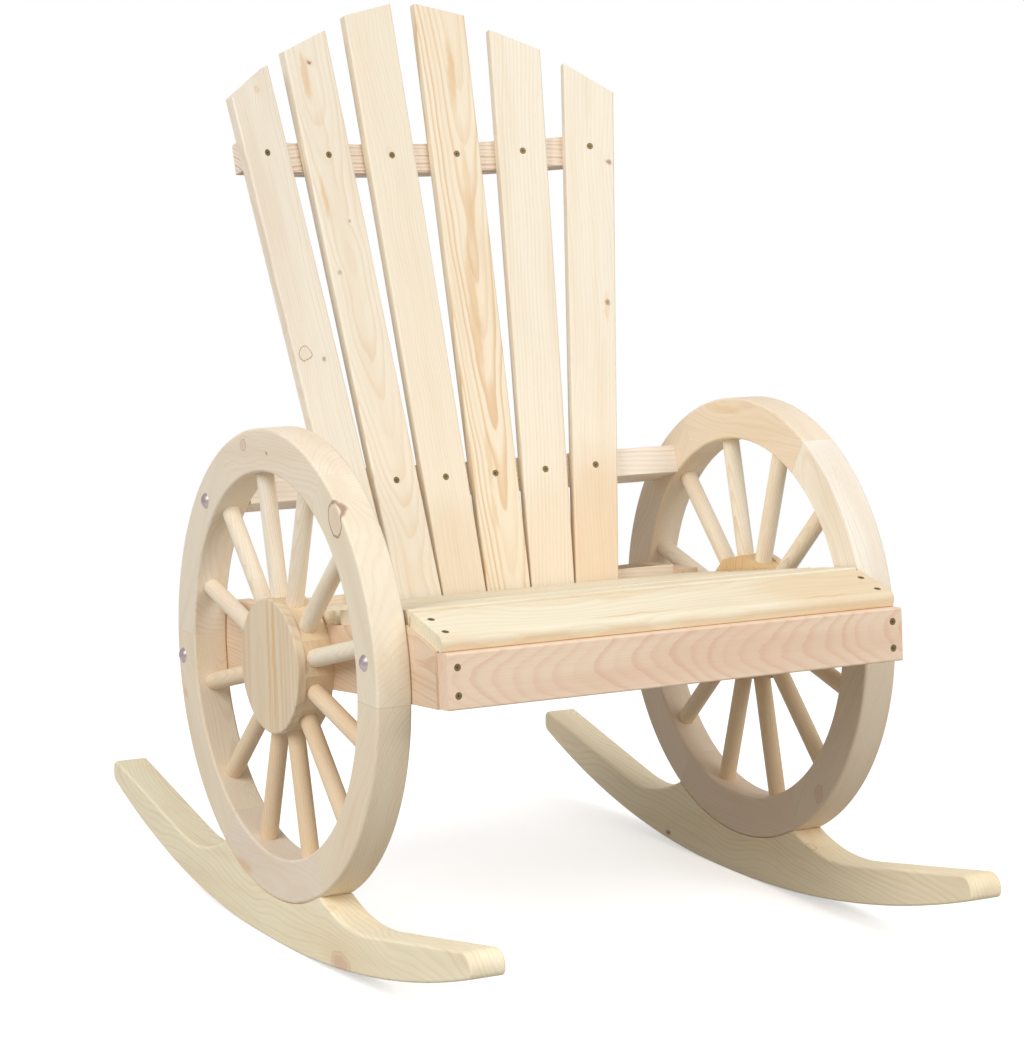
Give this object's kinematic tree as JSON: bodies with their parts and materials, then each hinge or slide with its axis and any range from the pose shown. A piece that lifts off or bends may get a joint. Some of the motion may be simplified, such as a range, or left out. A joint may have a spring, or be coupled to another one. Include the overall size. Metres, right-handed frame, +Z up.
{
  "type": "rocking adirondack chair",
  "caption": "Wooden rocking chair with a slatted seat and a tall fanned back hung between spoked wheels that serve as arms, each wheel standing on a curved rocker.",
  "frame": {"origin": "on the floor, in the middle of the chair's outer box", "axes": "+Z up, the front of the seat faces -Y, +X to the viewer's right"},
  "size_m": [0.6262, 0.889, 0.9791],
  "materials": {
    "rim_wood": "untreated planed softwood",
    "spoke_wood": "untreated planed softwood",
    "hub_wood": "untreated planed softwood",
    "rocker_wood": "untreated planed softwood",
    "back_wood": "untreated planed softwood",
    "rail_wood": "untreated planed softwood",
    "seat_wood": "untreated planed softwood",
    "bolt_steel": "zinc plated",
    "screw_steel": "yellow passivated"
  },
  "bodies": {
    "root": {"back_screws": "screw_steel", "back_slat_1": "back_wood", "back_slat_2": "back_wood", "back_slat_3": "back_wood", "back_slat_4": "back_wood", "back_slat_5": "back_wood", "back_slat_6": "back_wood", "bolt_nuts": "bolt_steel", "left_hub_block": "hub_wood", "left_hub_cap": "hub_wood", "left_rim_segment_1": "rim_wood", "left_rim_segment_2": "rim_wood", "left_rim_segment_3": "rim_wood", "left_rim_segment_4": "rim_wood", "left_rim_segment_5": "rim_wood", "left_rim_segment_6": "rim_wood", "left_rocker": "rocker_wood", "left_side_rail": "rail_wood", "left_spokes_1": "spoke_wood", "left_spokes_2": "spoke_wood", "left_spokes_3": "spoke_wood", "left_spokes_4": "spoke_wood", "left_spokes_5": "spoke_wood", "left_spokes_6": "spoke_wood", "lower_back_rail": "rail_wood", "middle_back_rail": "rail_wood", "right_hub_block": "hub_wood", "right_hub_cap": "hub_wood", "right_rim_segment_1": "rim_wood", "right_rim_segment_2": "rim_wood", "right_rim_segment_3": "rim_wood", "right_rim_segment_4": "rim_wood", "right_rim_segment_5": "rim_wood", "right_rim_segment_6": "rim_wood", "right_rocker": "rocker_wood", "right_side_rail": "rail_wood", "right_spokes_1": "spoke_wood", "right_spokes_2": "spoke_wood", "right_spokes_3": "spoke_wood", "right_spokes_4": "spoke_wood", "right_spokes_5": "spoke_wood", "right_spokes_6": "spoke_wood", "seat_apron": "seat_wood", "seat_screws": "screw_steel", "seat_slat_1": "seat_wood", "seat_slat_2": "seat_wood", "seat_slat_3": "seat_wood", "seat_slat_4": "seat_wood", "seat_slat_5": "seat_wood", "side_bolts": "bolt_steel", "upper_back_rail": "rail_wood"}
  },
  "joints": []
}
